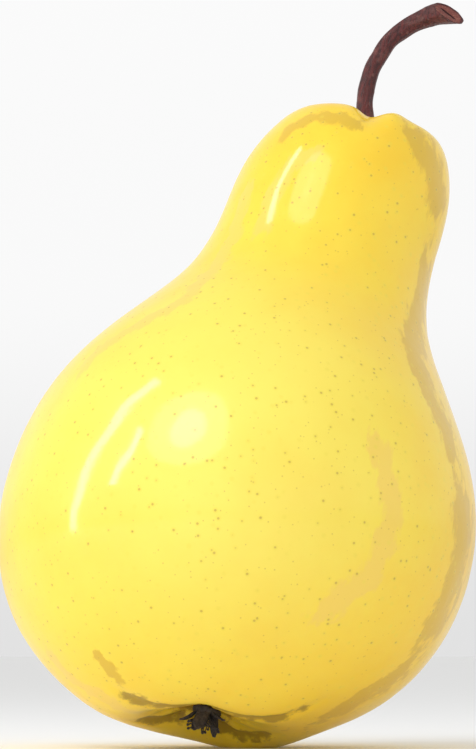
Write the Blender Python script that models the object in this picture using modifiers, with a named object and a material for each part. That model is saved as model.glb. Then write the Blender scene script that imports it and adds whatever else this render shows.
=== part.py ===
"""A ripe yellow pear standing on a small flat spot, leaning to its right and back.

Units are metres, +Z is up, and the floor is the plane Z = 0.  The origin is in the
flat spot that the pear rests on.  The pear's own axis runs from the blossom end to
the stem, and the numbers below are millimetres along it and away from it.
"""
import math

import bmesh
import bpy
from mathutils import Matrix, Vector

MM = 0.001

# How the pear stands: the flat spot is given from the blossom end, after leaning
LEAN_RIGHT = math.radians(15.0)
LEAN_BACK = math.radians(15.0)
SPOT = Vector((7.0, 10.3, -4.15)) * MM
FLOOR_CUTTER_SIZE = 0.06
FLOOR_CUTTER_DEPTH = 0.01

# The flesh: radius and height of the control rings, blossom end first
FLESH_PROFILE = (
    (0.0, 2.0),        # floor of the blossom basin
    (3.4, 2.0),
    (8.9, -0.8),       # wall of the basin
    (13.8, -1.9),      # rim that the pear stands on
    (22.9, 3.1),
    (31.2, 10.4),
    (36.7, 22.0),
    (37.0, 34.0),      # belly, the widest place
    (34.1, 46.0),
    (26.9, 57.0),
    (19.2, 67.0),      # waist
    (17.1, 78.0),
    (17.3, 88.0),
    (14.1, 96.8),
    (10.6, 99.8),      # crown
    (2.9, 98.5),       # mouth of the stem socket
    (2.1, 95.5),
    (0.0, 95.5),
)
FLESH_SEGMENTS = 16
FLESH_SMOOTHING = 2

# The blossom end is lobed, oval, and hangs lower on the left.  Each lobe has the
# angle of its crest, from the right towards the back, and how far it hangs down.
# The pear stands on the first.
LOBES = ((50.0, 2.3), (122.0, 0.3), (185.0, 1.4), (-122.0, 1.5), (-58.0, 1.6))
LOBE_SHARPNESS = 6.0
LOBE_RADIUS = 14.0
LOBE_MEAN = 0.25                        # keeps the mean height of the rim where it is
OVALNESS = 0.10
BLOSSOM_TILT = 0.17
BLOSSOM_TOP = 22.0
BLOSSOM_RISE = 25.0

# The crown dips at the front and back, and stands a little higher on the right
CROWN_DIP = 1.2
CROWN_TILT = 0.04
CROWN_START = 88.0
CROWN_RISE = 11.2
CROWN_RADIUS = 10.6

# Height, sideways offset: the flesh bows a little to the left
BOW = (
    (-1.0, 0.0), (3.0, -1.8), (12.0, -3.4), (35.0, -2.1),
    (55.0, -2.4), (75.0, -0.9), (98.5, 0.9),
)

# The stem: sideways, front-to-back and height, with its thickness as a share
STEM_RADIUS = 1.3
STEM_PATH = (
    (0.9, 0.0, 96.3, 1.18),
    (0.6, 0.0, 98.5, 1.07),
    (0.1, 0.0, 100.8, 1.01),
    (-0.6, 0.0, 103.0, 0.98),
    (-1.1, 0.0, 106.0, 0.98),
    (-1.0, 0.0, 109.0, 0.98),
    (-0.4, -0.1, 111.7, 0.98),
    (0.5, -0.4, 114.6, 1.00),
    (2.4, -0.9, 117.3, 1.06),
    (4.5, -1.7, 119.0, 1.17),
    (6.5, -2.75, 119.95, 1.32),
    (8.3, -3.9, 120.2, 1.45),
    (9.7, -5.2, 120.1, 1.50),
    (10.9, -6.6, 119.8, 1.50),
)
STEM_TIP = (8.3, -3.9, 120.2)
STEM_CUT = (0.16, -0.80, 0.58)          # the way the slanting cut faces
STEM_BEVEL_STEPS = 4                    # 12 sides
STEM_CURVE_STEPS = 3
NURBS_ORDER = 4

# The dried calyx: distance from the axis, height and width along a sepal
SEPALS = 5
FIRST_SEPAL = math.radians(-108.0)
CALYX_SHIFT = 0.2                       # sideways offset from the pear's axis
SEPAL_PATH = (
    (1.65, 1.42, 1.40),
    (1.80, 0.60, 1.80),
    (2.15, -0.15, 1.75),
    (2.65, -0.80, 1.35),
    (3.05, -1.20, 0.85),
    (3.40, -1.45, 0.35),
)
# Each sepal's own habit: how far it spreads and how far it hangs, as shares
SEPAL_HABITS = ((0.60, 1.20), (1.15, 0.38), (0.50, 1.00), (0.90, 0.80), (0.95, 0.70))
SEPAL_THICKNESS = 0.40
SEPAL_FOLD = 0.12

# The withered stamens: radius of the knot, reach of its five tufts, height
TUFT_PROFILE = (
    (0.00, 0.00, 1.60),
    (0.70, 0.10, 1.60),
    (0.95, 0.15, 1.00),
    (0.95, 0.35, 0.20),
    (0.90, 0.90, -0.45),
    (0.80, 1.30, -0.95),
    (0.45, 0.60, -1.15),
    (0.00, 0.00, -1.15),
)
TUFT_SEGMENTS = 30

SKIN_YELLOW = (1.0, 0.685, 0.045)
SKIN_ROUGHNESS = 0.38
BARK_BROWN = (0.147, 0.030, 0.030)
BARK_ROUGHNESS = 0.70
CALYX_GREY = (0.075, 0.068, 0.071)
CALYX_ROUGHNESS = 0.85

MERGE_DISTANCE = 0.00001


def remove_scene_objects():
    for thing in list(bpy.data.objects):
        bpy.data.objects.remove(thing, do_unlink=True)
    for group in list(bpy.data.collections):
        bpy.data.collections.remove(group)


def new_collection(name):
    group = bpy.data.collections.new(name)
    bpy.context.scene.collection.children.link(group)
    return group


def new_material(name, colour, roughness):
    material = bpy.data.materials.new(name)
    material.use_nodes = True
    shader = material.node_tree.nodes["Principled BSDF"]
    shader.inputs["Base Color"].default_value = (*colour, 1.0)
    shader.inputs["Roughness"].default_value = roughness
    shader.inputs["Metallic"].default_value = 0.0
    material.diffuse_color = (*colour, 1.0)
    return material


def object_from_bmesh(name, shape, group, material, parent):
    """Put a finished bmesh into the scene as one smooth-shaded object."""
    bmesh.ops.recalc_face_normals(shape, faces=shape.faces)
    mesh = bpy.data.meshes.new(name)
    shape.to_mesh(mesh)
    shape.free()
    mesh.materials.append(material)
    mesh.shade_smooth()
    thing = bpy.data.objects.new(name, mesh)
    group.objects.link(thing)
    thing.parent = parent
    return thing


def turned(profile, segments):
    """Turn a profile of (radius, height) pairs about Z into a closed bmesh."""
    shape = bmesh.new()
    for radius, height in profile:
        shape.verts.new(Vector((radius, 0.0, height)) * MM)
    shape.verts.ensure_lookup_table()
    for lower, upper in zip(shape.verts[:-1], shape.verts[1:]):
        shape.edges.new((lower, upper))
    bmesh.ops.spin(
        shape, geom=shape.verts[:] + shape.edges[:], cent=(0.0, 0.0, 0.0),
        axis=(0.0, 0.0, 1.0), angle=2.0 * math.pi, steps=segments, use_merge=True)
    bmesh.ops.remove_doubles(shape, verts=shape.verts, dist=MERGE_DISTANCE)
    return shape


def share_between(value, start, length):
    """0 at start, 1 one length further on, and held there outside."""
    return min(1.0, max(0.0, (value - start) / length))


def bow_at(height):
    """Sideways offset of the flesh's middle at a height, read from BOW."""
    for (low, start), (high, end) in zip(BOW, BOW[1:]):
        if height <= high:
            return start + (end - start) * share_between(height, low, high - low)
    return BOW[-1][1]


def lobe_drop(angle):
    """How far the lobes hang below the rim's mean height at an angle."""
    drop = 0.0
    for crest, depth in LOBES:
        away = 1.0 - math.cos(angle - math.radians(crest))
        drop += depth * (math.exp(-LOBE_SHARPNESS * away) - LOBE_MEAN)
    return drop


def shape_flesh(corner):
    """Move one corner of the turned cage to where it lies on the real fruit."""
    across, deep, height = corner / MM
    radius = math.hypot(across, deep)
    angle = math.atan2(deep, across)
    low = share_between(BLOSSOM_TOP - height, 0.0, BLOSSOM_RISE)
    high = share_between(height, CROWN_START, CROWN_RISE)

    rise = -lobe_drop(angle) * low ** 2 * min(1.0, radius / LOBE_RADIUS)
    rise += BLOSSOM_TILT * across * low ** 2
    rise += CROWN_TILT * across * high
    rise -= CROWN_DIP * math.sin(angle) ** 2 * high ** 4 * min(1.0, radius / CROWN_RADIUS)

    deep *= 1.0 - OVALNESS * low
    return Vector((across + bow_at(height), deep, height + rise)) * MM


def make_body(group, material, parent):
    shape = turned(FLESH_PROFILE, FLESH_SEGMENTS)
    for corner in shape.verts:
        corner.co = shape_flesh(corner.co)
    body = object_from_bmesh("pear_body", shape, group, material, parent)
    smooth = body.modifiers.new("round_flesh", "SUBSURF")
    smooth.levels = FLESH_SMOOTHING
    smooth.render_levels = FLESH_SMOOTHING
    return body


def add_flat_spot(body, cutters):
    """Cut the rim off level with the floor, so that the pear stands."""
    shape = bmesh.new()
    bmesh.ops.create_cube(shape, size=1.0)
    bmesh.ops.translate(shape, verts=shape.verts, vec=(0.0, 0.0, -0.5))
    size = (FLOOR_CUTTER_SIZE, FLOOR_CUTTER_SIZE, FLOOR_CUTTER_DEPTH)
    bmesh.ops.scale(shape, verts=shape.verts, vec=size)
    mesh = bpy.data.meshes.new("floor_cutter")
    shape.to_mesh(mesh)
    shape.free()
    cutter = bpy.data.objects.new("floor_cutter", mesh)
    cutters.objects.link(cutter)
    cutter.hide_render = True
    cutter.display_type = "WIRE"
    cut = body.modifiers.new("flat_spot", "BOOLEAN")
    cut.operation = "DIFFERENCE"
    cut.solver = "EXACT"
    cut.object = cutter


def make_stem(group, material, parent):
    """A round curved stem, thicker at both ends and cut off at a slant."""
    curve = bpy.data.curves.new("stem_curve", "CURVE")
    curve.dimensions = "3D"
    curve.bevel_depth = STEM_RADIUS * MM
    curve.bevel_resolution = STEM_BEVEL_STEPS
    curve.resolution_u = STEM_CURVE_STEPS
    curve.use_fill_caps = True
    spline = curve.splines.new("NURBS")
    spline.points.add(len(STEM_PATH) - 1)
    spline.use_endpoint_u = True
    spline.order_u = NURBS_ORDER
    for point, (across, deep, height, thickness) in zip(spline.points, STEM_PATH):
        point.co = (across * MM, deep * MM, height * MM, 1.0)
        point.radius = thickness
    guide = bpy.data.objects.new("stem_curve", curve)
    group.objects.link(guide)
    depsgraph = bpy.context.evaluated_depsgraph_get()
    mesh = bpy.data.meshes.new_from_object(guide.evaluated_get(depsgraph))
    bpy.data.objects.remove(guide, do_unlink=True)

    shape = bmesh.new()
    shape.from_mesh(mesh)
    bpy.data.meshes.remove(mesh)
    bmesh.ops.remove_doubles(shape, verts=shape.verts, dist=MERGE_DISTANCE)
    cut = bmesh.ops.bisect_plane(
        shape, geom=shape.verts[:] + shape.edges[:] + shape.faces[:],
        plane_co=Vector(STEM_TIP) * MM, plane_no=STEM_CUT, clear_outer=True)
    rim = [part for part in cut["geom_cut"] if isinstance(part, bmesh.types.BMEdge)]
    bmesh.ops.edgeloop_fill(shape, edges=rim)
    return object_from_bmesh("stem", shape, group, material, parent)


def make_sepal(number, group, material, parent):
    """One dried sepal: a folded tongue that curls outward and ends in a point."""
    shape = bmesh.new()
    spread, hang = SEPAL_HABITS[number]
    root_distance, root_height, root_width = SEPAL_PATH[0]
    stations = len(SEPAL_PATH)
    bmesh.ops.create_grid(shape, x_segments=2, y_segments=stations - 1, size=1.0)
    for corner in shape.verts:
        station = round((corner.co.y + 1.0) / 2.0 * (stations - 1))
        distance, height, width = SEPAL_PATH[station]
        distance = root_distance + (distance - root_distance) * spread
        height = root_height + (height - root_height) * hang
        fold = SEPAL_FOLD * (1.0 - abs(corner.co.x))
        corner.co = Vector((distance + fold, 0.5 * width * corner.co.x, height)) * MM
    sepal = object_from_bmesh("sepal_%d" % (number + 1), shape, group, material, parent)
    thicken = sepal.modifiers.new("thickness", "SOLIDIFY")
    thicken.thickness = SEPAL_THICKNESS * MM
    thicken.offset = 0.0
    sepal.location.x = CALYX_SHIFT * MM
    sepal.rotation_euler.z = FIRST_SEPAL + number * 2.0 * math.pi / SEPALS
    return sepal


def make_stamen_tuft(group, material, parent):
    """The withered stamens: a knot with five tufts that reach out between the sepals."""
    knot = [(radius, height) for radius, reach, height in TUFT_PROFILE]
    shape = turned(knot, TUFT_SEGMENTS)
    reach_at = {height: reach for radius, reach, height in TUFT_PROFILE if radius}
    for corner in shape.verts:
        across, deep, height = corner.co / MM
        radius = math.hypot(across, deep)
        if radius == 0.0:
            continue
        angle = math.atan2(deep, across)
        wave = 0.5 - 0.5 * math.cos(SEPALS * (angle - FIRST_SEPAL))
        reach = min(reach_at.items(), key=lambda item: abs(item[0] - height))[1]
        grow = 1.0 + reach * wave ** 2 / radius
        corner.co.x *= grow
        corner.co.y *= grow
    tuft = object_from_bmesh("stamen_tuft", shape, group, material, parent)
    tuft.location.x = CALYX_SHIFT * MM
    return tuft


def make_pear():
    parts = new_collection("pear")
    cutters = new_collection("cutters")
    cutters.hide_render = True

    skin = new_material("pear_skin", SKIN_YELLOW, SKIN_ROUGHNESS)
    bark = new_material("stem_bark", BARK_BROWN, BARK_ROUGHNESS)
    dry = new_material("calyx_dry", CALYX_GREY, CALYX_ROUGHNESS)

    axis = bpy.data.objects.new("pear_axis", None)
    axis.empty_display_size = 0.02
    parts.objects.link(axis)
    lean = Matrix.Rotation(LEAN_RIGHT, 4, "Y") @ Matrix.Rotation(-LEAN_BACK, 4, "X")
    axis.matrix_world = Matrix.Translation(-SPOT) @ lean

    body = make_body(parts, skin, axis)
    add_flat_spot(body, cutters)
    make_stem(parts, bark, axis)
    for number in range(SEPALS):
        make_sepal(number, parts, dry, axis)
    make_stamen_tuft(parts, dry, axis)


remove_scene_objects()
make_pear()
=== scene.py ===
# %% [markdown]
# # A ripe yellow pear
# The pear is one soft body of flesh, and everything else on it is dry and small: a
# woody stem cut off at a slant, and at the other end the withered flower, five
# sepals with clumps of stamens between them. The imported model is loaded, and its
# pieces are hidden where finer ones are built here. Each cell below makes one of
# these things, or the finish that goes on it.

# %% Load the imported model
import math

import bmesh
import bpy
from mathutils import Matrix, Vector, noise


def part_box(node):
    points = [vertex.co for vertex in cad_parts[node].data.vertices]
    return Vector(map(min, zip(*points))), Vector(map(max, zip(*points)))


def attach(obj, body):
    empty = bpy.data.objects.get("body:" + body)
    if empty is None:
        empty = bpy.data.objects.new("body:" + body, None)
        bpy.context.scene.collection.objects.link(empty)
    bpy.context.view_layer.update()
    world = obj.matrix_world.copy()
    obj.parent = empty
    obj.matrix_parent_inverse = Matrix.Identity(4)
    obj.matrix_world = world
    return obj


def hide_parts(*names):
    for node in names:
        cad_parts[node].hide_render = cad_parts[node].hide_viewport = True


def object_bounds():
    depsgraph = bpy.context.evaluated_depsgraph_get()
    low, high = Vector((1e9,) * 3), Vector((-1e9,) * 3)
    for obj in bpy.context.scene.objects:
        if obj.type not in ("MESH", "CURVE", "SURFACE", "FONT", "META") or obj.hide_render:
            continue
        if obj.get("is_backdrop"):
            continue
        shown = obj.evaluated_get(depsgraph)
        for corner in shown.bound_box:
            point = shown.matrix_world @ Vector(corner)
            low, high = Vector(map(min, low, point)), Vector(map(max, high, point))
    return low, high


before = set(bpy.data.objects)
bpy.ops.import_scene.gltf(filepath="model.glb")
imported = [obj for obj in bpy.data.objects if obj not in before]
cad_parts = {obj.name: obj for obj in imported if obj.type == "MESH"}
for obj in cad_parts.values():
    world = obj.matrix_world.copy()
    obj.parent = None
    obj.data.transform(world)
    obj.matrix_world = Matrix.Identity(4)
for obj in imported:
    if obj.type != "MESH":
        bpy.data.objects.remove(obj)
cad_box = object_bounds()
MM = 0.001
print("nodes:", ", ".join(sorted(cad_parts)))
print("box, mm:", [[round(value / MM, 1) for value in corner] for corner in cad_box])

# %% [markdown]
# ## How the pear stands
# A pear grows around an axis that runs from its flower end to its stem, and its
# skin, folds and patches all follow that axis. So every piece is modelled along Z,
# in millimetres, and one matrix then leans it to the right and back and puts the
# flat spot that it rests on at the origin.

# %% The pear's own axis
LEAN_RIGHT = math.radians(15.0)
LEAN_BACK = math.radians(15.0)
SPOT = Vector((7.0, 10.3, -4.15)) * MM

lean = Matrix.Rotation(LEAN_RIGHT, 4, "Y") @ Matrix.Rotation(-LEAN_BACK, 4, "X")
stand_up = Matrix.Translation(-SPOT) @ lean
to_axis = stand_up.inverted()
print("stem end points to", [round(value, 2) for value in lean.col[2][:3]])

# %% [markdown]
# ## The turned cage of the flesh
# A fruit is nearly a turned shape, so it starts as half an outline that is spun
# about the axis. Few points are enough, because Subdivision Surface rounds the cage:
# more points would only add dents. The pole at each end is where the flower and the
# stem are.

# %% Turn the cage
FLESH_PROFILE = (
    (0.0, 2.0), (3.4, 2.0), (8.9, -0.8), (13.8, -1.9), (22.9, 3.1), (31.2, 10.4),
    (36.7, 22.0), (37.0, 34.0), (34.1, 46.0), (26.9, 57.0), (19.2, 67.0), (17.1, 78.0),
    (17.3, 88.0), (14.1, 96.8), (10.6, 99.8), (2.9, 98.5), (2.1, 95.5), (0.0, 95.5),
)
FLESH_SEGMENTS = 16
MERGE_DISTANCE = 0.001


def turned(profile, segments):
    """Spin (radius, height) pairs about Z into a closed shape, in millimetres."""
    shape = bmesh.new()
    for radius, height in profile:
        shape.verts.new((radius, 0.0, height))
    shape.verts.ensure_lookup_table()
    for lower, upper in zip(shape.verts[:-1], shape.verts[1:]):
        shape.edges.new((lower, upper))
    bmesh.ops.spin(
        shape, geom=shape.verts[:] + shape.edges[:], cent=(0.0, 0.0, 0.0),
        axis=(0.0, 0.0, 1.0), angle=2.0 * math.pi, steps=segments, use_merge=True)
    bmesh.ops.remove_doubles(shape, verts=shape.verts, dist=MERGE_DISTANCE)
    bmesh.ops.recalc_face_normals(shape, faces=shape.faces)
    return shape


cage = turned(FLESH_PROFILE, FLESH_SEGMENTS)
print("cage:", len(cage.verts), "corners,", len(cage.faces), "faces")

# %% [markdown]
# ## Lean, lobes and crown
# No pear is truly round. This one bows a little to the left, and around the flower
# it has five soft lobes of different depth, one of which it stands on. The crown
# dips in front of and behind the stem. These are the same few rules that gave the
# solid model its form, so the fine surface lies where the solid does.

# %% Shape the cage
LOBES = ((50.0, 2.3), (122.0, 0.3), (185.0, 1.4), (-122.0, 1.5), (-58.0, 1.6))
LOBE_SHARPNESS = 6.0
LOBE_RADIUS = 14.0
LOBE_MEAN = 0.25
OVALNESS = 0.10
BLOSSOM_TILT = 0.17
BLOSSOM_TOP = 22.0
BLOSSOM_RISE = 25.0
CROWN_DIP = 1.2
CROWN_TILT = 0.04
CROWN_START = 88.0
CROWN_RISE = 11.2
CROWN_RADIUS = 10.6
BOW = (
    (-1.0, 0.0), (3.0, -1.8), (12.0, -3.4), (35.0, -2.1),
    (55.0, -2.4), (75.0, -0.9), (98.5, 0.9),
)


def share_between(value, start, length):
    """0 at start, 1 one length further on, and held there outside."""
    return min(1.0, max(0.0, (value - start) / length))


def bow_at(height):
    for (low, start), (high, end) in zip(BOW, BOW[1:]):
        if height <= high:
            return start + (end - start) * share_between(height, low, high - low)
    return BOW[-1][1]


def lobe_drop(angle):
    """How far the lobes hang below the rim's mean height at an angle."""
    drop = 0.0
    for crest, depth in LOBES:
        away = 1.0 - math.cos(angle - math.radians(crest))
        drop += depth * (math.exp(-LOBE_SHARPNESS * away) - LOBE_MEAN)
    return drop


def shape_flesh(corner):
    across, deep, height = corner
    radius = math.hypot(across, deep)
    angle = math.atan2(deep, across)
    low = share_between(BLOSSOM_TOP - height, 0.0, BLOSSOM_RISE)
    high = share_between(height, CROWN_START, CROWN_RISE)
    rise = -lobe_drop(angle) * low ** 2 * min(1.0, radius / LOBE_RADIUS)
    rise += BLOSSOM_TILT * across * low ** 2
    rise += CROWN_TILT * across * high
    rise -= CROWN_DIP * math.sin(angle) ** 2 * high ** 4 * min(1.0, radius / CROWN_RADIUS)
    deep *= 1.0 - OVALNESS * low
    return Vector((across + bow_at(height), deep, height + rise))


for corner in cage.verts:
    corner.co = shape_flesh(corner.co)
print("cage shaped, widest", round(max(corner.co.x for corner in cage.verts) * 2.0, 1), "mm")

# %% [markdown]
# ## From cage to skin
# Folds and dimples need far more points than the cage has. The cage could carry a
# Displace modifier, but folds that start at the flower are easier to say in numbers,
# so Subdivision Surface is used once, its result is read back as a mesh, and the
# points of that mesh are moved.

# %% Subdivide the cage and read it back
FLESH_LEVELS = 4


def mesh_from(shape, name):
    mesh = bpy.data.meshes.new(name)
    shape.to_mesh(mesh)
    shape.free()
    return mesh


def with_modifiers(thing):
    """The mesh that the object shows with its modifiers, as a new bmesh."""
    graph = bpy.context.evaluated_depsgraph_get()
    mesh = bpy.data.meshes.new_from_object(thing.evaluated_get(graph))
    shape = bmesh.new()
    shape.from_mesh(mesh)
    bpy.data.meshes.remove(mesh)
    bpy.data.objects.remove(thing, do_unlink=True)
    return shape


def round_off(thing, levels):
    rounding = thing.modifiers.new("rounding", "SUBSURF")
    rounding.levels = levels
    rounding.render_levels = levels


cage_object = bpy.data.objects.new("flesh_cage", mesh_from(cage, "flesh_cage"))
bpy.context.scene.collection.objects.link(cage_object)
round_off(cage_object, FLESH_LEVELS)
flesh = with_modifiers(cage_object)
print("skin:", len(flesh.verts), "points")

# %% [markdown]
# ## Folds around the flower
# Where the flower was, the skin is drawn in like the mouth of a bag. There are two
# kinds of fold: fine radial puckers close to the sepals, and a few long creases
# between the lobes. A crease is given as a route around the axis, and a point's
# distance from the route says how deep it sinks and, later, how much painted shade,
# in ochre, it gets.

# %% Measure how far a point is from a crease
# each route: angle from the right towards the back, and distance from the axis
CREASES = (
    ((-144.0, 17.0), (-139.0, 14.4), (-128.0, 11.4), (-112.0, 10.0), (-95.0, 9.6),
     (-78.0, 9.6), (-60.0, 10.2), (-45.0, 11.8), (-37.0, 14.0), (-33.0, 19.0)),
    ((162.0, 10.2), (141.0, 8.0), (118.0, 5.2)),
    ((75.0, 3.2), (55.0, 5.4), (42.0, 7.0), (26.0, 8.8), (4.0, 10.8)),
)
CREASE_TOP = 9.0
CREASE_TAPER = (5.0, 0.25)


def polar(angle, distance):
    angle = math.radians(angle)
    return Vector((distance * math.cos(angle), distance * math.sin(angle)))


def distance_to_route(point, route):
    """How far a point is from a route, where along it, and whether on its left or right."""
    nearest = (1.0e9, 0.0, 0.0)
    for step, (start, end) in enumerate(zip(route, route[1:])):
        along = end - start
        share = (point - start).dot(along) / along.length_squared
        share = min(1.0, max(0.0, share))
        off = point - start - along * share
        place = (step + share) / (len(route) - 1)
        nearest = min(nearest, (off.length, place, along.cross(off)))
    return nearest


crease_routes = [[polar(*stop) for stop in route] for route in CREASES]


def hump(value, middle, width):
    """1 at the middle, falling smoothly to nothing a few widths away."""
    return math.exp(-((value - middle) / width) ** 2)


def tapered(place, slope, least):
    """1 along most of a route, falling to the least at both of its ends."""
    return min(1.0, slope * place + least, slope * (1.0 - place) + least)


def crease_at(point, width):
    """1 in the bottom of a crease, falling to 0 at its width and at the route's ends."""
    if point.z > CREASE_TOP:
        return 0.0
    flat = Vector((point.x, point.y))
    deepest = 0.0
    for route in crease_routes:
        gap, place = distance_to_route(flat, route)[:2]
        deepest = max(deepest, tapered(place, *CREASE_TAPER) * hump(gap, 0.0, width))
    return deepest


print("creases:", len(crease_routes))

# %% [markdown]
# ## Small unevenness
# A ripe pear is smooth but never perfect. Wide, shallow swellings bend its
# reflections, and small dimples break their edges. Both are taken from the noise
# function that ships with Blender, at two sizes, and stay under a third of a
# millimetre, so they don't change the outline. Two larger dents follow rules of
# their own: a furrow over the front of the crown, and a notch in the basin's rim.

# %% Move the points of the skin
SWELLING = 0.26
SWELLING_SIZE = 15.0
DIMPLES = 0.035
DIMPLE_SIZE = 3.6
CREASE_DEPTH = 0.55
CREASE_WIDTH = 1.1

# around the flower: where a band lies is its distance from the axis and its width
PUCKERS = 13
PUCKER_DEPTH = 0.28
PUCKER_BAND = (4.2, 2.6)
PUCKER_WOBBLE = 2.6
NOTCH_ANGLE = math.radians(-93.0)
NOTCH_SPREAD = 0.33
NOTCH_DEPTH = 0.9
NOTCH_BAND = (8.5, 4.0)

# around the stem
CROWN_FOOT = 90.0
SOCKET_BUMPS = 0.5
SOCKET_BUMP_SIZE = 2.2
SOCKET_BAND = (4.4, 1.7)
FURROW_DEPTH = 1.3
FURROW_BAND = (0.6, 2.0)
FURROW_START = (0.5, 3.0)               # where it starts, and how far it takes to deepen
FURROW_END = (17.5, 4.0)
FURROW_FOOT = (92.0, 5.0)
SHOULDER_RISE = 0.45
SHOULDER_BAND = (4.6, 1.8)


def crown_relief(point):
    """A furrow that runs from the stem over the front of the crown, and a shoulder beside it."""
    end, fading = FURROW_END
    front = share_between(-point.y, *FURROW_START) * share_between(end + point.y, 0.0, fading)
    high = share_between(point.z, *FURROW_FOOT)
    furrow = FURROW_DEPTH * hump(point.x, *FURROW_BAND)
    shoulder = SHOULDER_RISE * hump(point.x, *SHOULDER_BAND)
    return (shoulder - furrow) * front * high


def rim_notch(radius, angle):
    """The front of the basin's rim is drawn in between two lobes."""
    turn = math.remainder(angle - NOTCH_ANGLE, 2.0 * math.pi)
    return NOTCH_DEPTH * hump(turn, 0.0, NOTCH_SPREAD) * hump(radius, *NOTCH_BAND)


def fine_relief(point):
    """How far a point of the skin stands out, in millimetres."""
    out = SWELLING * noise.noise(point / SWELLING_SIZE)
    out += DIMPLES * noise.noise(point / DIMPLE_SIZE)
    radius = math.hypot(point.x, point.y)
    angle = math.atan2(point.y, point.x)
    if point.z < CREASE_TOP:
        out -= CREASE_DEPTH * crease_at(point, CREASE_WIDTH) + rim_notch(radius, angle)
        around = Vector((math.cos(angle), math.sin(angle), radius / 6.0))
        wobble = PUCKER_WOBBLE * noise.noise(around * 1.6)
        out += PUCKER_DEPTH * hump(radius, *PUCKER_BAND) * math.sin(PUCKERS * angle + wobble)
    if point.z > CROWN_FOOT:
        out += crown_relief(point)
        radius = math.hypot(point.x - bow_at(point.z), point.y)
        bumps = noise.noise(Vector((point.x, point.y, 3.0)) / SOCKET_BUMP_SIZE)
        out += SOCKET_BUMPS * hump(radius, *SOCKET_BAND) * bumps
    return out


for corner in flesh.verts:
    corner.co += corner.normal * fine_relief(corner.co)
print("skin height now", round(max(corner.co.z for corner in flesh.verts), 1), "mm")

# %% [markdown]
# ## Where the colour changes
# Here the skin's colour changes slowly over the fruit, in marks that are painted
# light: a paler patch on the front of the belly is a painted glow, a broad deeper
# yellow over the right side and ragged strokes of deeper gold along the right edge
# and over the top of the neck are painted shade, and a few paler, peach-coloured
# strokes are painted highlights. One small gold mark near the flower is a scuff. A
# texture can't know where these are, so the mesh carries them as attributes, numbers
# from 0 to 1 on its points, and the material only breaks up their edges. The gold
# strokes of painted shade end sharply in front and fade slowly into the broad
# painted shade behind them.

# %% Routes of the patches on the side of the fruit
# each patch: its width on the right and on the left of its route, seen on the way
# along it, then the route's stops given as angle around the axis and height
# five strokes of painted shade along the right edge and over the top of the neck, and last a small
# scuff near the flower
GOLD_SHADE_AND_SCUFF_PATCHES = (
    (1.5, 1.5, ((-138.0, 88.0), (-134.0, 91.5), (-122.0, 93.5), (-106.0, 94.0), (-90.0, 93.0))),
    (2.2, 5.0, ((-64.0, 96.0), (-56.0, 93.5), (-43.0, 90.5), (-28.0, 84.0))),
    (2.0, 5.0, ((-29.0, 79.0), (-27.0, 72.0), (-42.0, 62.0), (-44.0, 56.0),
                (-38.0, 50.5), (-32.0, 42.5))),
    (2.6, 7.5, ((-31.0, 39.5), (-25.0, 33.0), (-23.0, 25.0), (-20.0, 17.5))),
    (1.5, 5.0, ((-15.0, 15.5), (-18.0, 9.0), (-12.0, 4.0))),
    (1.4, 1.4, ((-139.0, 2.4), (-137.0, 0.8), (-138.0, -0.4))),
)
# strokes of painted highlight, paler than the yellow around them
PEACH_HIGHLIGHT_PATCHES = (
    (1.7, 1.7, ((-147.0, 82.0), (-141.0, 74.0), (-134.0, 65.5), (-129.0, 56.0),
                (-139.0, 50.0), (-146.0, 46.0), (-147.0, 41.0))),
    (1.6, 1.6, ((-109.0, 87.5), (-122.0, 84.0), (-126.0, 78.0), (-122.0, 71.0))),
    (2.3, 2.3, ((-64.0, 40.0), (-59.0, 36.5), (-53.0, 29.0), (-52.0, 21.0),
                (-56.0, 16.0), (-59.0, 12.5))),
    (1.4, 1.4, ((-166.0, 3.5), (-168.0, 0.0), (-161.0, -1.9), (-154.0, -2.6))),
)
PATCH_TAPER = (6.0, 0.5)
PATCH_REACH = 2.5                       # in widths, past which a patch is too weak to see


def unrolled(angle, radius, height):
    """A place on the skin as arc length and height, as if it were peeled off flat."""
    return Vector((angle * radius, height))


def stops_span(stops, height, width):
    """Whether a height is near enough to the stops for their patch to reach it."""
    heights = [stop[1] for stop in stops]
    reach = PATCH_REACH * width
    return min(heights) - reach < height < max(heights) + reach


def patch_at(point, patches):
    """1 along the middle of a patch, falling off beside it as its widths say."""
    across = point.x - bow_at(point.z)
    radius = max(1.0, math.hypot(across, point.y))
    angle = math.atan2(point.y, across)
    flat = unrolled(angle, radius, point.z)
    strongest = 0.0
    for right, left, stops in patches:
        if not stops_span(stops, point.z, left):
            continue
        route = [unrolled(math.radians(turn), radius, height) for turn, height in stops]
        gap, place, side = distance_to_route(flat, route)
        width = left if side > 0.0 else right
        strongest = max(strongest, tapered(place, *PATCH_TAPER) * hump(gap, 0.0, width))
    return strongest


print("patches:", len(GOLD_SHADE_AND_SCUFF_PATCHES), "gold,", len(PEACH_HIGHLIGHT_PATCHES), "peach_highlight")

# %% [markdown]
# ## Write the attributes
# Attributes are made while the mesh still stands on its own axis, because angles
# and heights are simple there. Six are enough: the gold strokes of painted shade with
# one scuff among them, the peach strokes of painted highlight, the painted glow on
# the belly, the painted shade over the right side, the painted shade in the creases,
# and the russet that surrounds the stem and flower.

# %% Write the attributes on the skin
# the paler patch on the front of the belly is a painted glow
GLOW_CENTRE = Vector((*polar(-108.0, 36.0), 33.0))
GLOW_SIZE = 34.0
# painted shade: deeper yellow over the right side
SIDE_SHADE_ANGLE = math.radians(-2.0)
SIDE_SHADE_SPREAD = math.radians(36.0)
SIDE_SHADE_FOOT = (2.0, 22.0)                # where it starts, and over what height it grows
SIDE_SHADE_TOP = (100.0, 18.0)
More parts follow.
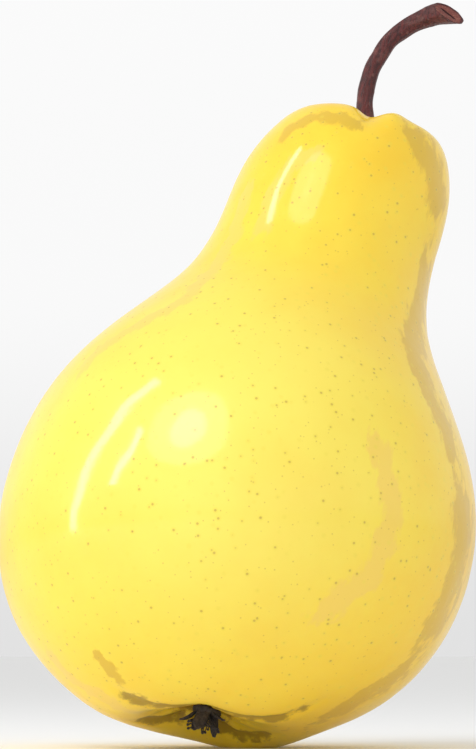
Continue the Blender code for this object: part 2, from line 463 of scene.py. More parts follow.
# width of the painted shade in the creases
CREASE_SHADE_WIDTH = 1.7
BASIN_TOP = 4.0
BASIN_RUSSET = 5.2
SOCKET_RUSSET = 5.6


# painted glow: a paler patch on the front of the belly, a little to the left
def painted_glow_at(point):
    return hump((point - GLOW_CENTRE).length, 0.0, GLOW_SIZE)


def side_shade_at(point):
    """Painted shade: a broad, soft area of deeper yellow around to the right."""
    turn = math.atan2(point.y, point.x - bow_at(point.z)) - SIDE_SHADE_ANGLE
    top, fading = SIDE_SHADE_TOP
    height = share_between(point.z, *SIDE_SHADE_FOOT) * share_between(top - point.z, 0.0, fading)
    return hump(turn, 0.0, SIDE_SHADE_SPREAD) * height


def russet_at(point):
    """Corky skin: in the basin of the flower and in the socket of the stem."""
    radius = math.hypot(point.x - bow_at(point.z), point.y)
    if point.z < BASIN_TOP:
        return hump(radius, 0.0, BASIN_RUSSET)
    if point.z > CROWN_FOOT:
        return hump(radius, 0.0, SOCKET_RUSSET)
    return 0.0


# the marks, in order: painted shade with one scuff, painted highlights, a painted glow, painted shade
# over the right side, painted shade in the creases, and the skin's own russet
skin_marks = {
    "gold_shade_and_scuff": lambda point: patch_at(point, GOLD_SHADE_AND_SCUFF_PATCHES),
    "peach_highlight": lambda point: patch_at(point, PEACH_HIGHLIGHT_PATCHES),
    "painted_glow": painted_glow_at,
    "side_shade": side_shade_at,
    "crease": lambda point: crease_at(point, CREASE_SHADE_WIDTH),
    "russet": russet_at,
}
for mark, rule in skin_marks.items():
    layer = flesh.verts.layers.float.new(mark)
    for corner in flesh.verts:
        corner[layer] = rule(corner.co)
    print(mark, "reaches", round(max(corner[layer] for corner in flesh.verts), 2))

# %% [markdown]
# ## The flat spot
# The lobe that carries the pear is pressed flat where it touches the table. The
# skin is first put in its place, and then everything under the table is cut away
# and the hole is closed with one face, as a cut through the solid would do.

# %% Stand the skin up and level its flat spot
def into_place(shape):
    """From millimetres on the pear's own axis to metres on the table."""
    bmesh.ops.scale(shape, vec=(MM, MM, MM), verts=shape.verts)
    bmesh.ops.transform(shape, matrix=stand_up, verts=shape.verts)


def smooth_object(name, shape):
    mesh = mesh_from(shape, name)
    mesh.shade_smooth()
    thing = bpy.data.objects.new(name, mesh)
    bpy.context.scene.collection.objects.link(thing)
    return thing


into_place(flesh)
level = bmesh.ops.bisect_plane(
    flesh, geom=flesh.verts[:] + flesh.edges[:] + flesh.faces[:],
    plane_co=(0.0, 0.0, 0.0), plane_no=(0.0, 0.0, -1.0), clear_outer=True)
spot_rim = [part for part in level["geom_cut"] if isinstance(part, bmesh.types.BMEdge)]
bmesh.ops.edgeloop_fill(flesh, edges=spot_rim)
skin = smooth_object("flesh", flesh)
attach(skin, "root")
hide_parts("pear_body")
low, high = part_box("pear_body")
size = [round((top - bottom) / MM, 1) for bottom, top in zip(low, high)]
print("flesh", [round(value / MM, 1) for value in skin.dimensions], "mm; solid", size, "mm")

# %% [markdown]
# ## Small helpers for materials
# A node tree is easier to read when each node is made, set and linked in one line.
# These helpers do that. Patterns read Object coordinates, so they sit in the fruit
# and not on the screen, and they are turned to the pear's own axis.

# %% Node helpers
class Nodes:
    """Makes the nodes of one material and links them."""

    def __init__(self, name):
        self.material = bpy.data.materials.new(name)
        self.material.use_nodes = True
        self.tree = self.material.node_tree
        self.shader = self.tree.nodes["Principled BSDF"]
        self.place = self.make("ShaderNodeTexCoord").outputs["Object"]

    def make(self, kind, inputs=(), **settings):
        node = self.tree.nodes.new(kind)
        for name, value in settings.items():
            setattr(node, name, value)
        for key, value in dict(inputs).items():
            self.set(node.inputs[key], value)
        return node

    def set(self, socket, value):
        if isinstance(value, bpy.types.NodeSocket):
            self.tree.links.new(value, socket)
        else:
            socket.default_value = value

    def along_axis(self, stretch=(1.0, 1.0, 1.0)):
        """Object coordinates turned to the pear's axis, in millimetres times stretch."""
        turn = self.make("ShaderNodeMapping", {
            "Vector": self.place,
            "Location": to_axis.to_translation(),
            "Rotation": to_axis.to_euler("XYZ"),
        })
        scale = [1.0 / MM * share for share in stretch]
        return self.make(
            "ShaderNodeMapping", {"Vector": turn.outputs[0], "Scale": scale}).outputs[0]

    def noise(self, vector, scale, detail=3.0, roughness=0.55):
        return self.make("ShaderNodeTexNoise", {
            "Vector": vector, "Scale": scale, "Detail": detail,
            "Roughness": roughness}).outputs["Fac"]

    def ramp(self, value, start, end, low=0.0, high=1.0):
        return self.make(
            "ShaderNodeMapRange",
            {"Value": value, "From Min": start, "From Max": end, "To Min": low, "To Max": high},
            interpolation_type="SMOOTHSTEP").outputs["Result"]

    def math(self, operation, first, second):
        return self.make(
            "ShaderNodeMath", {0: first, 1: second}, operation=operation).outputs[0]

    def mark(self, name):
        return self.make("ShaderNodeAttribute", attribute_name=name).outputs["Fac"]

    def mix(self, share, first, second):
        node = self.make("ShaderNodeMix", data_type="RGBA")
        self.set(node.inputs[0], share)
        self.set(node.inputs[6], first)
        self.set(node.inputs[7], second)
        return node.outputs[2]

    def bump(self, height, distance):
        return self.make("ShaderNodeBump", {
            "Height": height, "Distance": distance, "Strength": 1.0}).outputs["Normal"]


def srgb(red, green, blue):
    """A colour given as 0 to 255 on a screen, in the linear values of a shader."""
    values = []
    for value in (red, green, blue):
        value /= 255.0
        values.append(value / 12.92 if value <= 0.04045 else ((value + 0.055) / 1.055) ** 2.4)
    return (*values, 1.0)


print("helpers ready")

# %% [markdown]
# ## The skin
# Ripe pear skin is a thin, waxy, slightly see-through film over pale flesh. Its
# yellow is never even: there are soft clouds of deeper yellow, and everywhere the
# lenticels, the breathing pores, as fine brownish dots. Around the stem and the
# flower the skin turns to matt, corky russet. The wax is a clear coat, so its
# highlights are crisp while the colour under it stays soft.

# %% Colours of the skin
BUTTER = srgb(252, 217, 40)
# painted glow: the paler yellow on the front of the belly
GLOW_PALE = srgb(252, 236, 100)
DEEP = srgb(250, 205, 22)
# painted shade: the deeper gold of the strokes, also used for one scuff
GOLD_SHADE_AND_SCUFF = srgb(219, 178, 30)
# painted shade: the deeper yellow over the right side
SIDE_SHADE_YELLOW = srgb(248, 196, 14)
# painted highlight: the paler peach of the strokes
PEACH_HIGHLIGHT = srgb(247, 210, 86)
# painted shade: ochre in the creases around the flower
CREASE_SHADE_OCHRE = srgb(168, 136, 22)
PORE = srgb(170, 120, 30)
HALO = srgb(236, 214, 62)
RUSSET = srgb(150, 104, 44)

nodes = Nodes("pear_skin")
place = nodes.along_axis()
cloud = nodes.noise(place, 0.055, detail=4.0)
fleck = nodes.noise(place, 0.9, detail=5.0, roughness=0.65)
colour = nodes.mix(nodes.ramp(cloud, 0.35, 0.70), BUTTER, DEEP)
# painted glow: paler yellow on the front of the belly
glow_share = nodes.math("MULTIPLY", nodes.mark("painted_glow"), nodes.ramp(cloud, 0.2, 0.9, 1.0, 0.75))
colour = nodes.mix(glow_share, colour, GLOW_PALE)
# painted shade: deeper yellow over the right side
side_shade = nodes.math("MULTIPLY", nodes.mark("side_shade"), nodes.ramp(fleck, 0.25, 0.75, 0.35, 0.75))
colour = nodes.mix(side_shade, colour, SIDE_SHADE_YELLOW)
print("skin clouds made")

# %% [markdown]
# ### Patches with ragged edges
# The attribute falls off smoothly, which alone would look airbrushed. Noise that is
# stretched along the fruit is added before the threshold, so the edge is combed into
# short streaks.

# %% Gold shade, peach highlight and crease shade patches
STREAK_STRETCH = (0.55, 0.55, 0.22)
STREAK_REACH = 0.28
RAGGED_EDGE = (0.34, 0.72)

streaks = nodes.noise(nodes.along_axis(STREAK_STRETCH), 1.0, detail=4.0, roughness=0.6)


def ragged(mark, strength):
    shift = nodes.ramp(streaks, 0.3, 0.7, -STREAK_REACH, STREAK_REACH)
    rough = nodes.math("ADD", nodes.mark(mark), shift)
    return nodes.ramp(rough, *RAGGED_EDGE, 0.0, strength)


# painted shade: gold strokes along the right edge and over the neck, and one small scuff
colour = nodes.mix(ragged("gold_shade_and_scuff", 0.85), colour, GOLD_SHADE_AND_SCUFF)
# painted highlights: paler peach strokes
colour = nodes.mix(ragged("peach_highlight", 0.8), colour, PEACH_HIGHLIGHT)
# painted shade: ochre along the creases around the flower
colour = nodes.mix(ragged("crease", 0.9), colour, CREASE_SHADE_OCHRE)
print("patches made")

# %% [markdown]
# ### Lenticels and russet
# A Voronoi texture scatters points through space, and the skin cuts through the
# small balls around them. That gives dots of many sizes, as on the fruit. Each large
# dot has a faint, greener ring, and its middle is raised a few hundredths of a
# millimetre.

# %% Lenticels and russet
def dots(spacing, radius, softness):
    cells = nodes.make("ShaderNodeTexVoronoi", {"Vector": place, "Scale": 1.0 / spacing})
    reach = cells.outputs["Distance"]
    return nodes.ramp(reach, (radius + softness) / spacing, (radius - softness) / spacing)


PORE_SPACING = 1.9
SPECK_SPACING = 1.15
pores = dots(PORE_SPACING, 0.19, 0.07)
halo = dots(PORE_SPACING, 0.42, 0.16)
specks = dots(SPECK_SPACING, 0.12, 0.05)
colour = nodes.mix(nodes.math("MULTIPLY", halo, 0.30), colour, HALO)
colour = nodes.mix(nodes.math("MULTIPLY", specks, 0.35), colour, PORE)
colour = nodes.mix(nodes.math("MULTIPLY", pores, 0.5), colour, PORE)
rough_russet = nodes.math("ADD", nodes.mark("russet"), nodes.ramp(fleck, 0.3, 0.7, -0.3, 0.3))
russet = nodes.ramp(rough_russet, 0.35, 0.75)
colour = nodes.mix(nodes.math("MULTIPLY", russet, 0.75), colour, RUSSET)
nodes.set(nodes.shader.inputs["Base Color"], colour)
print("lenticels and russet made")

# %% [markdown]
# ### Wax, softness and relief
# Under the coat the skin is only half glossy, so a wide soft glow lies around the
# crisp highlight. Russet has no wax. A little subsurface scattering lets light soak
# in at the edges, as it does in flesh full of water.

# %% Finish the skin
SKIN_RELIEF = 0.06 * MM

grain = nodes.noise(place, 2.6, detail=3.0)
peel = nodes.noise(place, 0.55, detail=1.0)
relief = nodes.math("MULTIPLY", pores, 0.55)
relief = nodes.math("ADD", relief, nodes.math("MULTIPLY", peel, 0.60))
relief = nodes.math("ADD", relief, nodes.math("MULTIPLY", grain, 0.22))
relief = nodes.math("ADD", relief, nodes.math("MULTIPLY", nodes.math("MULTIPLY", russet, fleck), 2.2))
nodes.set(nodes.shader.inputs["Normal"], nodes.bump(relief, SKIN_RELIEF))
gloss = nodes.ramp(nodes.noise(place, 0.12, detail=3.0), 0.3, 0.7, 0.36, 0.44)
gloss = nodes.math("ADD", gloss, nodes.math("MULTIPLY", russet, 0.30))
nodes.set(nodes.shader.inputs["Roughness"], gloss)
nodes.set(nodes.shader.inputs["Coat Weight"], nodes.ramp(russet, 0.0, 1.0, 0.42, 0.0))
nodes.shader.inputs["Coat Roughness"].default_value = 0.10
nodes.shader.inputs["Coat IOR"].default_value = 2.0
nodes.shader.inputs["Specular IOR Level"].default_value = 0.25
nodes.shader.inputs["Subsurface Weight"].default_value = 0.10
nodes.shader.inputs["Subsurface Radius"].default_value = (1.0, 0.6, 0.15)
nodes.shader.inputs["Subsurface Scale"].default_value = 0.003
skin.data.materials.append(nodes.material)
print("skin finished")

# %% [markdown]
# ## The stem
# A pear's stem is a short woody rod, swollen a little at the fruit and at the end
# where it broke or was cut off the spur. It is swept: one ring of points is extruded
# along a smooth route, a ring at a time. The ridges of the bark run along it, so
# they are made by moving each ring's points in and out.

# %% The stem's route
STEM_PATH = (
    (0.9, 0.0, 96.0, 1.55), (0.6, 0.0, 98.5, 1.42), (0.1, 0.0, 100.8, 1.33),
    (-0.6, 0.0, 103.0, 1.28), (-1.0, 0.0, 106.0, 1.28), (-0.9, 0.0, 109.0, 1.28),
    (-0.3, -0.1, 111.6, 1.28), (0.6, -0.4, 114.4, 1.30), (2.5, -0.9, 117.0, 1.38),
    (4.6, -1.7, 118.75, 1.52), (6.5, -2.75, 119.8, 1.72), (8.3, -3.9, 120.2, 1.88),
    (9.7, -5.2, 120.1, 1.95), (10.9, -6.6, 119.8, 1.95),
)
STEM_TIP = Vector((8.3, -3.9, 120.2))
STEM_CUT = Vector((0.16, -0.80, 0.58)).normalized()
STEM_STEPS = 9


def smooth_route(stops, steps):
    """A smooth curve through the stops: each stretch leaves and arrives in step with its neighbours."""
    points = [Vector(stop) for stop in stops]
    route = []
    for i in range(len(points) - 1):
        before = points[max(i - 1, 0)]
        start, end = points[i], points[i + 1]
        after = points[min(i + 2, len(points) - 1)]
        for step in range(steps):
            share = step / steps
            leave = (end - before) * 0.5
            arrive = (after - start) * 0.5
            square, cube = share ** 2, share ** 3
            route.append(
                start * (2.0 * cube - 3.0 * square + 1.0) + leave * (cube - 2.0 * square + share)
                + end * (3.0 * square - 2.0 * cube) + arrive * (cube - square))
    return route + [points[-1]]


stem_route = smooth_route(STEM_PATH, STEM_STEPS)
print("stem route:", len(stem_route), "stations")

# %% [markdown]
# ### Sweep the bark
# Each extrusion copies the ring, and the copy's points are then put around the next
# station. Ridges keep their place around the stem and wander slowly along it; a
# few rings of scar tissue cross them.

# %% Sweep the stem
STEM_SIDES = 44
RIDGES = 9
RIDGE_HEIGHT = 0.045
KNOT_HEIGHT = 0.10
SCAR_HEIGHT = 0.16
FLARE_LENGTH = 1.3


def bark_relief(turn, length):
    """How far the bark stands out: ridges, knots, scars, and a flare into the fruit."""
    around = Vector((math.cos(turn), math.sin(turn), 0.0))
    ridges = math.sin(RIDGES * turn + 2.2 * noise.noise(Vector((0.0, 0.0, length / 5.0))))
    knots = noise.noise(around * 1.4 + Vector((0.0, 0.0, length / 2.4)))
    scars = max(0.0, noise.noise(Vector((3.0, 0.0, length / 0.7)))) ** 2
    flare = math.exp(-length / FLARE_LENGTH) * (0.35 + 0.25 * math.sin(3.0 * turn + 0.6))
    return RIDGE_HEIGHT * ridges + KNOT_HEIGHT * knots + SCAR_HEIGHT * scars + flare


def near_key(place):
    return tuple(round(value, 6) for value in place)


def swept(route, sides, relief):
    """Extrude a ring along a route whose stations are a place and a radius."""
    shape = bmesh.new()
    start = bmesh.ops.create_circle(shape, segments=sides, radius=1.0, cap_ends=True)
    ring = start["verts"]
    places = [Vector(station[:3]) for station in route]
    side = Vector((0.0, 1.0, 0.0))
    length = 0.0
    for i, place in enumerate(places):
        along = places[min(i + 1, len(places) - 1)] - places[max(i - 1, 0)]
        along.normalize()
        side = (side - along * side.dot(along)).normalized()
        across = side.cross(along)
        if i:
            length += (place - places[i - 1]).length
            edges = [edge for edge in shape.edges if edge.verts[0] in rim and edge.verts[1] in rim]
            grown = bmesh.ops.extrude_edge_only(shape, edges=edges)
            ring = [part for part in grown["geom"] if isinstance(part, bmesh.types.BMVert)]
            ring.sort(key=lambda corner: order[near_key(corner.co)])
        for k, corner in enumerate(ring):
            turn = 2.0 * math.pi * k / sides
            radius = route[i][3] + relief(turn, length)
            corner.co = place + (across * math.cos(turn) + side * math.sin(turn)) * radius
        rim = set(ring)
        order = {near_key(corner.co): k for k, corner in enumerate(ring)}
    return shape, ring


stem = swept(stem_route, STEM_SIDES, bark_relief)[0]
print("stem:", len(stem.verts), "points")

# %% [markdown]
# ### The slanting cut
# The cut is a plane through the tip. What lies beyond it goes, and the hole becomes
# one face. Steps in that face, each smaller than the one before, leave a rim of
# bark, a disc of wood and a narrow split in the pith.

# %% Cut the tip and open the pith
cut = bmesh.ops.bisect_plane(
    stem, geom=stem.verts[:] + stem.edges[:] + stem.faces[:],
    plane_co=STEM_TIP, plane_no=STEM_CUT, clear_outer=True)
tip_rim = [part for part in cut["geom_cut"] if isinstance(part, bmesh.types.BMEdge)]
tip_face = bmesh.ops.edgeloop_fill(stem, edges=tip_rim)["faces"]
bmesh.ops.recalc_face_normals(stem, faces=stem.faces)


def stepped_in(shape, faces, share, depth):
    """Inset a face, shrink its middle to a share of its size and push it in by a depth."""
    bmesh.ops.inset_region(shape, faces=faces, thickness=0.0)
    corners = faces[0].verts[:]
    middle = sum((corner.co for corner in corners), Vector()) / len(corners)
    bmesh.ops.scale(shape, vec=(share,) * 3, space=Matrix.Translation(-middle), verts=corners)
    bmesh.ops.translate(shape, vec=-STEM_CUT * depth, verts=corners)
    return middle


WOOD, PITH = 1, 2
SPLIT_LENGTH = 0.85
SPLIT_WIDTH = 0.20

stepped_in(stem, tip_face, 0.93, -0.05)
stepped_in(stem, tip_face, 0.90, 0.15)
tip_face[0].material_index = WOOD
middle = stepped_in(stem, tip_face, 0.80, 0.0)
across_cut = [corner.co - middle for corner in tip_face[0].verts]
long_way = max(across_cut, key=lambda way: way.length).normalized()
stepped_in(stem, tip_face, 1.0, 0.0)
for corner in tip_face[0].verts:
    away = corner.co - middle
    lengthwise = long_way * away.dot(long_way)
    corner.co = middle + lengthwise * SPLIT_LENGTH + (away - lengthwise) * SPLIT_WIDTH
tip_face[0].material_index = PITH
stepped_in(stem, tip_face, 0.85, 0.35)
print("stem cut, split runs", [round(value, 2) for value in long_way])

# %% Put the stem in place
into_place(stem)
twig = smooth_object("stem_bark", stem)
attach(twig, "root")
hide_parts("stem")
print("stem", [round(value / MM, 1) for value in twig.dimensions], "mm")

# %% [markdown]
# ## Bark and cut wood
# The bark is dark red-brown and dry, with fine grain along the stem, paler worn
# patches and small pale pores. The cut shows wood of the same red, a little lighter
# and matt, and the split in the pith is nearly black.

# %% Materials of the stem
BARK = srgb(100, 40, 38)
BARK_DARK = srgb(60, 22, 22)
BARK_WORN = srgb(128, 82, 74)
WOOD_RED = srgb(116, 56, 50)
WOOD_PALE = srgb(146, 92, 74)
PITH_DARK = srgb(52, 22, 20)
BARK_RELIEF = 0.18 * MM
WOOD_RELIEF = 0.12 * MM

nodes = Nodes("stem_bark")
fibre = nodes.noise(nodes.along_axis((1.6, 1.6, 0.25)), 1.6, detail=5.0, roughness=0.65)
blotch = nodes.noise(nodes.along_axis(), 0.45, detail=3.0)
crumbs = nodes.noise(nodes.along_axis(), 5.0, detail=3.0)
colour = nodes.mix(nodes.ramp(fibre, 0.38, 0.66), BARK_DARK, BARK)
colour = nodes.mix(nodes.ramp(blotch, 0.50, 0.78, 0.0, 0.55), colour, BARK_WORN)
stem_pores = nodes.make(
    "ShaderNodeTexVoronoi", {"Vector": nodes.along_axis((1.0, 1.0, 0.6)), "Scale": 0.9})
stem_dots = nodes.ramp(stem_pores.outputs["Distance"], 0.24, 0.14)
colour = nodes.mix(nodes.math("MULTIPLY", stem_dots, 0.5), colour, BARK_WORN)
nodes.set(nodes.shader.inputs["Base Color"], colour)
relief = nodes.math("ADD", nodes.math("MULTIPLY", fibre, 1.2), nodes.math("MULTIPLY", crumbs, 0.4))
relief = nodes.math("ADD", relief, nodes.math("MULTIPLY", stem_dots, 0.4))
nodes.set(nodes.shader.inputs["Normal"], nodes.bump(relief, BARK_RELIEF))
nodes.set(nodes.shader.inputs["Roughness"], nodes.ramp(fibre, 0.3, 0.7, 0.36, 0.56))
nodes.shader.inputs["Specular IOR Level"].default_value = 0.4
twig.data.materials.append(nodes.material)

nodes = Nodes("stem_wood")
rings = nodes.noise(nodes.along_axis((2.4, 2.4, 2.4)), 1.4, detail=4.0, roughness=0.6)
colour = nodes.mix(nodes.ramp(rings, 0.42, 0.72), WOOD_RED, WOOD_PALE)
nodes.set(nodes.shader.inputs["Base Color"], colour)
nodes.set(nodes.shader.inputs["Normal"], nodes.bump(rings, WOOD_RELIEF))
nodes.shader.inputs["Roughness"].default_value = 0.75
twig.data.materials.append(nodes.material)

nodes = Nodes("stem_pith")
colour = nodes.mix(nodes.noise(nodes.along_axis(), 4.0), PITH_DARK, BARK_DARK)
nodes.set(nodes.shader.inputs["Base Color"], colour)
nodes.shader.inputs["Roughness"].default_value = 0.9
twig.data.materials.append(nodes.material)
print("stem finished")

# %% [markdown]
# ## The withered flower: sepals
# Five sepals stay on a pear after the flower has gone. They dry into dark, folded
# tongues that stand out of the basin and curl outwards at their tips. Each is a
# grid, bent along its length and folded along its middle, given its thickness by
# Solidify and rounded by Subdivision Surface. No two curl the same way.

# %% Sepals
SEPALS = 5
FIRST_SEPAL = math.radians(-108.0)
CALYX_MIDDLE = Vector((0.2, 0.0, 0.0))
# distance from the axis, height and width along a sepal
SEPAL_PATH = (
    (1.20, 1.75, 1.60), (1.45, 1.35, 1.90), (1.75, 0.60, 2.15), (2.15, -0.15, 2.05),
    (2.62, -0.75, 1.55), (3.02, -1.20, 0.95), (3.42, -1.50, 0.14),
)
# each sepal's own habit: how far it spreads, how far it hangs, and its twist
SEPAL_HABITS = (
    (0.60, 1.20, 8.0), (1.15, 0.38, -12.0), (0.50, 1.00, 6.0),
    (0.90, 0.80, 14.0), (0.95, 0.70, -8.0),
)
SEPAL_ROOT = Vector((1.65, 1.42))
SEPAL_FOLD = 0.34
SEPAL_RUFFLE = 0.16
SEPAL_SWAY = 0.35
SEPAL_THICKNESS = 0.26
DRY_LEVELS = 2


def bent_sepal(number):
    spread, hang, twist = SEPAL_HABITS[number]
    shape = bmesh.new()
    stations = smooth_route(SEPAL_PATH, 2)
    bmesh.ops.create_grid(shape, x_segments=6, y_segments=len(stations) - 1, size=1.0)
    for corner in shape.verts:
        along = (corner.co.y + 1.0) / 2.0
        distance, height, width = stations[round(along * (len(stations) - 1))]
        edge = corner.co.x
        ruffle = SEPAL_RUFFLE * noise.noise(Vector((edge * 1.7, along * 5.0, number * 7.0)))
        fold = SEPAL_FOLD * (1.0 - edge ** 2) * (0.4 + 0.6 * along) + ruffle
        sway = SEPAL_SWAY * along * noise.noise(Vector((along * 2.5, 0.0, number * 3.0)))
        distance = SEPAL_ROOT.x + (distance - SEPAL_ROOT.x) * spread
        height = SEPAL_ROOT.y + (height - SEPAL_ROOT.y) * hang
        sway += math.tan(math.radians(twist) * along) * (distance - SEPAL_ROOT.x)
        corner.co = Vector((distance + fold, 0.5 * width * edge + sway, height))
    bmesh.ops.rotate(
        shape, verts=shape.verts, cent=(0.0, 0.0, 0.0),
        matrix=Matrix.Rotation(FIRST_SEPAL + number * 2.0 * math.pi / SEPALS, 3, "Z"))
    bmesh.ops.translate(shape, verts=shape.verts, vec=CALYX_MIDDLE)
    bmesh.ops.recalc_face_normals(shape, faces=shape.faces)
    into_place(shape)
    return shape


sepal_objects = []
for number in range(SEPALS):
    sepal = smooth_object("dry_sepal_%d" % (number + 1), bent_sepal(number))
    thickness = sepal.modifiers.new("thickness", "SOLIDIFY")
    thickness.thickness = SEPAL_THICKNESS * MM
    thickness.offset = 0.0
    round_off(sepal, DRY_LEVELS)
    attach(sepal, "root")
    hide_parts("sepal_%d" % (number + 1))
    sepal_objects.append(sepal)
print("sepals:", len(sepal_objects))

# %% [markdown]
# ## The withered flower: stamens
# Between the sepals lie clumps of dried stamens, thin threads with a shrivelled
# knob at the end, and in the middle the stubs of the styles. A thread is swept like
# the stem, only thinner, and all of them are one piece, as they are matted together.

# %% Stamens
THREADS_PER_CLUMP = 5
THREAD_SIDES = 7
THREAD_TOP = 1.7
THREAD_THICKNESS = 0.115
CLUMP_SPREAD = 0.62
STYLES = 5
STYLE_THICKNESS = 0.17
# share of the way along a thread, and its thickness there as a share
THREAD_SHAPE = ((0.0, 1.0), (0.35, 0.85), (0.7, 0.8), (0.9, 0.9), (0.96, 1.9), (1.0, 1.3))


def no_relief(turn, length):
    return 0.0


def thread(start, reach, drop, spread_angle, thickness):
    """One dried thread from the middle outwards, with a knob at its end."""
    stops = []
    for share, radius in THREAD_SHAPE:
        distance = start + reach * share ** 1.6
        height = THREAD_TOP - drop * share
        bend = spread_angle + 0.25 * math.sin(5.0 * share + spread_angle * 3.0)
        stops.append((distance * math.cos(bend), distance * math.sin(bend), height, thickness * radius))
    shape, ring = swept(smooth_route(stops, 3), THREAD_SIDES, no_relief)
    end = [edge for edge in shape.edges if edge.verts[0] in ring and edge.verts[1] in ring]
    bmesh.ops.edgeloop_fill(shape, edges=end)
    return mesh_from(shape, "thread")


tuft = bmesh.new()
for clump in range(SEPALS):
    middle_angle = FIRST_SEPAL + (clump + 0.5) * 2.0 * math.pi / SEPALS
    for number in range(THREADS_PER_CLUMP):
        share = number / (THREADS_PER_CLUMP - 1) - 0.5
        wander = noise.noise(Vector((clump * 2.3, number * 1.7, 0.5)))
        part = thread(
            0.75, 1.75 + 0.5 * wander, 2.75 + 0.7 * wander - abs(share) * 0.6,
            middle_angle + share * CLUMP_SPREAD, THREAD_THICKNESS)
        tuft.from_mesh(part)
        bpy.data.meshes.remove(part)
for number in range(STYLES):
    drop = 2.2 + 0.3 * math.sin(number * 2.0)
    part = thread(0.28, 0.25, drop, number * 1.257, STYLE_THICKNESS)
    tuft.from_mesh(part)
    bpy.data.meshes.remove(part)
bmesh.ops.recalc_face_normals(tuft, faces=tuft.faces)
bmesh.ops.translate(tuft, verts=tuft.verts, vec=CALYX_MIDDLE)
into_place(tuft)
stamens = smooth_object("dry_stamens", tuft)
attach(stamens, "root")
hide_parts("stamen_tuft")
print("threads:", SEPALS * THREADS_PER_CLUMP + STYLES)

# %% [markdown]
# ## The cup that holds them
# Sepals and stamens grow from one small cup, which dries with them and sits in the
# floor of the basin. It is a turned dish with a wavy lip, and it closes the gap
# between the dry pieces and the skin.

# %% Calyx cup
CUP_PROFILE = (
    (0.0, 1.25), (0.9, 1.30), (1.45, 1.00), (1.95, 0.95), (2.15, 1.35), (2.35, 2.05), (0.0, 2.40),
)
CUP_SEGMENTS = 40
LIP_WAVES = 10

cup = turned(CUP_PROFILE, CUP_SEGMENTS)
for corner in cup.verts:
    angle = math.atan2(corner.co.y, corner.co.x)
    wave = 0.16 * math.sin(LIP_WAVES * angle) + 0.25 * noise.noise(corner.co * 1.3)
    corner.co.z += wave * share_between(math.hypot(corner.co.x, corner.co.y), 0.8, 1.0)
bmesh.ops.translate(cup, verts=cup.verts, vec=CALYX_MIDDLE)
into_place(cup)
calyx_cup = smooth_object("calyx_cup", cup)
round_off(calyx_cup, DRY_LEVELS)
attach(calyx_cup, "root")
print("cup", [round(value / MM, 1) for value in calyx_cup.dimensions], "mm")

# %% [markdown]
# ## The colour of withered tissue
# Dried sepals are grey to almost black, matt, with a few straw-coloured patches and
# a short felt of hairs that noise can suggest. One material serves them all,
# because patterns on Object coordinates differ from piece to piece by themselves.

# %% Material of the flower
ASH = srgb(84, 79, 80)
SOOT = srgb(50, 46, 48)
STRAW = srgb(118, 100, 82)
FELT_RELIEF = 0.12 * MM

nodes = Nodes("calyx_dry")
felt = nodes.noise(nodes.along_axis(), 3.2, detail=5.0, roughness=0.7)
patchy = nodes.noise(nodes.along_axis(), 0.8, detail=2.0)
colour = nodes.mix(nodes.ramp(felt, 0.35, 0.65), SOOT, ASH)
colour = nodes.mix(nodes.ramp(patchy, 0.52, 0.75, 0.0, 0.45), colour, STRAW)
nodes.set(nodes.shader.inputs["Base Color"], colour)
nodes.set(nodes.shader.inputs["Normal"], nodes.bump(felt, FELT_RELIEF))
nodes.set(nodes.shader.inputs["Roughness"], nodes.ramp(felt, 0.3, 0.7, 0.78, 0.92))
for piece in sepal_objects + [stamens, calyx_cup]:
    piece.data.materials.append(nodes.material)
print("flower finished")

# %% [markdown]
# ## Table and light
# The pear stands on a plain pale table that runs out of sight, under a pale sky, so
# nothing draws the eye from it. A large round softbox, in front and above on the
# left, gives the wide glow on the belly, and a smaller one in the same direction
# gives the glow its bright middle. Two narrow ones on the left draw the bright arcs
# that a waxy skin shows.

# %% Table
TABLE_SIZE = 30.0
TABLE_WHITE = (0.93, 0.93, 0.92, 1.0)

table_shape = bmesh.new()
bmesh.ops.create_grid(table_shape, x_segments=1, y_segments=1, size=TABLE_SIZE)
table = smooth_object("table", table_shape)
nodes = Nodes("table")
nodes.shader.inputs["Base Color"].default_value = TABLE_WHITE
nodes.shader.inputs["Roughness"].default_value = 0.9
table.data.materials.append(nodes.material)
table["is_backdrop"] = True
print("table made")

# %% Sky
# how bright it is at a height: 0 is the horizon and 1 is overhead
SKY_LIGHT = ((0.0, 0.76), (0.09, 0.95), (0.22, 0.97), (0.6, 0.74))

world = bpy.data.worlds.new("pale_sky")
bpy.context.scene.world = world
world.use_nodes = True
tree = world.node_tree
sky = tree.nodes["Background"]
direction = tree.nodes.new("ShaderNodeTexCoord")
parts = tree.nodes.new("ShaderNodeSeparateXYZ")
tree.links.new(direction.outputs["Generated"], parts.inputs[0])
fade = tree.nodes.new("ShaderNodeValToRGB")
fade.color_ramp.interpolation = "EASE"
tree.links.new(parts.outputs["Z"], fade.inputs["Fac"])
for height, light in SKY_LIGHT[1:-1]:
    fade.color_ramp.elements.new(height)
for stop, (height, light) in zip(fade.color_ramp.elements, SKY_LIGHT):
    stop.position = height
    stop.color = (light, light, light, 1.0)
tree.links.new(fade.outputs["Color"], sky.inputs["Color"])
print("sky made")

# %% Lights
BELLY = Vector((-9.0, -34.0, 47.0)) * MM


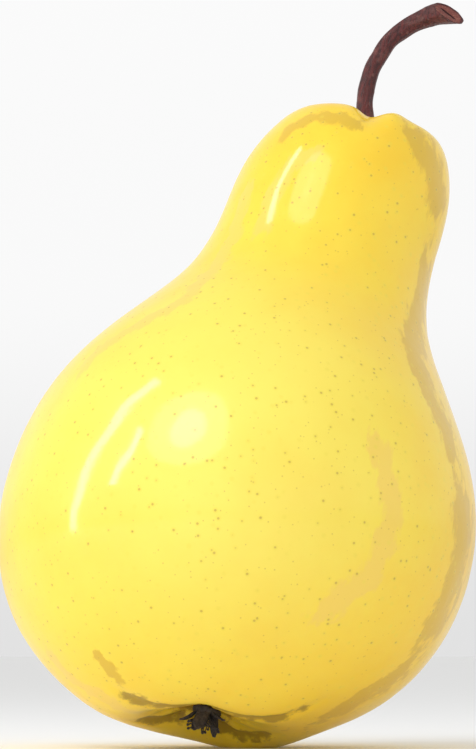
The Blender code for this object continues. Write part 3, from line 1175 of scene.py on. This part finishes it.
def softbox(name, towards, distance, size, strength, shape="DISK"):
    """An area light that stands off from the belly in a direction and faces it."""
    lamp = bpy.data.lights.new(name, "AREA")
    lamp.shape = shape
    lamp.size = size[0]
    if len(size) > 1:
        lamp.size_y = size[1]
    lamp.energy = strength
    box = bpy.data.objects.new(name, lamp)
    bpy.context.scene.collection.objects.link(box)
    way = Vector(towards).normalized()
    box.location = BELLY + way * distance
    box.rotation_euler = way.to_track_quat("Z", "Y").to_euler()
    box.visible_camera = False


GLOW_DIRECTION = (-0.36, -0.60, 0.72)

softbox("key", GLOW_DIRECTION, 0.90, (0.55,), 1.3)
softbox("front_glow", GLOW_DIRECTION, 0.60, (0.16,), 0.22)
softbox("left_arc", (-0.84, -0.13, 0.42), 0.50, (0.045, 0.70), 0.68, "RECTANGLE")
softbox("left_arc_short", (-0.77, -0.41, 0.48), 0.50, (0.035, 0.24), 0.22, "RECTANGLE")
print("lights made")

# %% [markdown]
# ## Camera
# A long lens, well away from the fruit and just above the table, shows the pear
# with almost no perspective and lets the flower be seen under its belly.

# %% Camera
CAMERA_PLACE = Vector((-1.75, -630.3, 14.0)) * MM
CAMERA_TARGET = Vector((-1.75, -10.3, 56.0)) * MM
LENS = 199.0
SENSOR = 36.0

lens = bpy.data.cameras.new("camera")
lens.lens = LENS
lens.sensor_width = SENSOR
lens.clip_start = 0.01
lens.clip_end = 100.0
camera = bpy.data.objects.new("camera", lens)
bpy.context.scene.collection.objects.link(camera)
camera.location = CAMERA_PLACE
camera.rotation_euler = (CAMERA_TARGET - CAMERA_PLACE).to_track_quat("-Z", "Y").to_euler()
bpy.context.scene.camera = camera
bpy.context.scene.view_settings.view_transform = "Standard"
print("camera", [round(value / MM) for value in camera.location], "mm")

# %% [markdown]
# ## Sizes of the solid and of the scene
# Both boxes, of the solid model and of what the scene shows, are printed. The
# fine surface may not grow past the solid model.

bpy.context.view_layer.update()
visual_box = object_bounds()
for axis, name in enumerate("XYZ"):
    solid = cad_box[1][axis] - cad_box[0][axis]
    seen = visual_box[1][axis] - visual_box[0][axis]
    print(name, "solid", round(solid / MM, 1), "mm, seen", round(seen / MM, 1), "mm")
